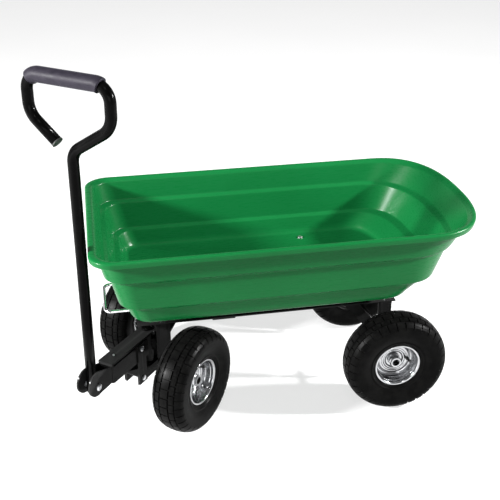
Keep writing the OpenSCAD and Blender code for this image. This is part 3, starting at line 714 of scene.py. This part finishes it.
def make_handle():
    path = handle_path()
    radii = [(TUBE_R - TUBE_SKIN) * MM] * len(path)
    points, faces = sweep([p * MM for p in path], radii, TUBE_COUNT, True, ACROSS)
    matrix = handle_matrix()
    mesh = mesh_from("handle_bent", [matrix @ p for p in points], faces)
    for poly in mesh.polygons[-2:]:
        poly.use_smooth = False
    outward(mesh)
    new_object("handle_bent", mesh, "handle", "handle_tube", "black_paint")


make_handle()


# ---------- latch spring ----------

SPRING_WIRE = 0.0009                                   # radius of the wire, in metres
SPRING_TURNS = 9
STEPS_A_TURN = 24


def make_spring():
    a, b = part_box("latch_spring")
    centre = (a + b) / 2
    radius = (b.z - a.z) / 2 - SPRING_WIRE - 0.0002
    steps = SPRING_TURNS * STEPS_A_TURN
    span = (b.y - a.y) - 2.2 * SPRING_WIRE
    path = []
    for i in range(steps + 1):
        t = i / steps
        angle = 2 * math.pi * SPRING_TURNS * t
        turn = Vector((math.cos(angle), 0, math.sin(angle))) * radius
        path.append(Vector((centre.x, centre.y - span / 2 + span * t, centre.z)) + turn)
    points, faces = sweep(path, [SPRING_WIRE] * len(path), 10)
    mesh = mesh_from("spring_coil", points, faces)
    outward(mesh)
    new_object("spring_coil", mesh, "chassis", "latch_spring", "zinc")


make_spring()


# ---------- studio ----------

# In metres, as are the panels' places and sizes below
AIM = (0.0, 0.0, 0.4)
FLOOR_HALF = 30.0
FLOOR_DROP = 0.0002                                    # keeps the floor just under the tyres


def area_light(name, place, size, power):
    """A soft panel that looks at the cart's middle."""
    data = bpy.data.lights.new(name, "AREA")
    data.shape = "RECTANGLE"
    data.size, data.size_y = size
    data.energy = power
    obj = bpy.data.objects.new(name, data)
    bpy.context.scene.collection.objects.link(obj)
    obj.location = place
    obj.rotation_mode = "QUATERNION"
    obj.rotation_quaternion = (Vector(AIM) - Vector(place)).to_track_quat("-Z", "Y")
    return obj


def make_world():
    """Bright near the horizon and dim overhead, so that only the panels cast shadows."""
    world = bpy.data.worlds.new("studio")
    bpy.context.scene.world = world
    world.use_nodes = True
    tree = world.node_tree
    background = tree.nodes["Background"]
    direction = tree.nodes.new("ShaderNodeTexCoord").outputs["Generated"]
    height = tree.nodes.new("ShaderNodeSeparateXYZ")
    fade = tree.nodes.new("ShaderNodeMapRange")
    tree.links.new(direction, height.inputs["Vector"])
    tree.links.new(height.outputs["Z"], fade.inputs["Value"])
    for socket, value in (("From Min", 0.12), ("From Max", 0.40), ("To Min", 0.85), ("To Max", 0.08)):
        fade.inputs[socket].default_value = value
    tree.links.new(fade.outputs["Result"], background.inputs["Strength"])
    background.inputs["Color"].default_value = (1.0, 1.0, 1.0, 1.0)


def make_studio():
    half = FLOOR_HALF
    corners = [(-half, -half, 0), (half, -half, 0), (half, half, 0), (-half, half, 0)]
    floor = bpy.data.objects.new("floor", mesh_from("floor", corners, [(0, 1, 2, 3)], False))
    bpy.context.scene.collection.objects.link(floor)
    floor.data.materials.append(studio_floor())
    floor.location.z = -FLOOR_DROP
    lights = [
        area_light("front_key", (3.3, 0.7, 1.62), (0.3, 0.3), 520.0),
        area_light("rear_key", (-2.9, 0.8, 1.80), (0.16, 0.16), 360.0),
        area_light("high_front", (0.4, 2.4, 3.4), (0.5, 0.5), 14.0),
        area_light("overhead", (0.0, 0.3, 4.2), (4.5, 3.5), 16.0),
        area_light("camera_fill", (0.6, 4.0, 1.2), (2.4, 1.2), 30.0),
    ]
    make_world()
    bpy.context.scene.view_settings.view_transform = "Standard"


make_studio()


# ---------- camera ----------

# Place from the middle of the rear axle in millimetres, and the way it looks, in degrees
CAMERA_PLACE = (677.0, 1915.0, 1350.0)
AZIMUTH = 169.574
ELEVATION = 26.858
ROLL = -0.254
LENS = 63.235
SENSOR = 36.0


def make_camera():
    azimuth, elevation, roll = (math.radians(v) for v in (AZIMUTH, ELEVATION, ROLL))
    level = math.cos(elevation)
    back = Vector((math.sin(azimuth) * level, -math.cos(azimuth) * level, math.sin(elevation)))
    right = Vector((0, 0, 1)).cross(back).normalized()
    up = back.cross(right)
    rolled_right = math.cos(roll) * right + math.sin(roll) * up
    rolled_up = math.cos(roll) * up - math.sin(roll) * right
    data = bpy.data.cameras.new("camera")
    data.sensor_width = SENSOR
    data.lens = LENS
    camera = bpy.data.objects.new("camera", data)
    bpy.context.scene.collection.objects.link(camera)
    turn = Matrix((rolled_right, rolled_up, back)).transposed().to_4x4()
    camera.matrix_world = Matrix.Translation(from_cart(*CAMERA_PLACE)) @ turn
    bpy.context.scene.camera = camera


make_camera()
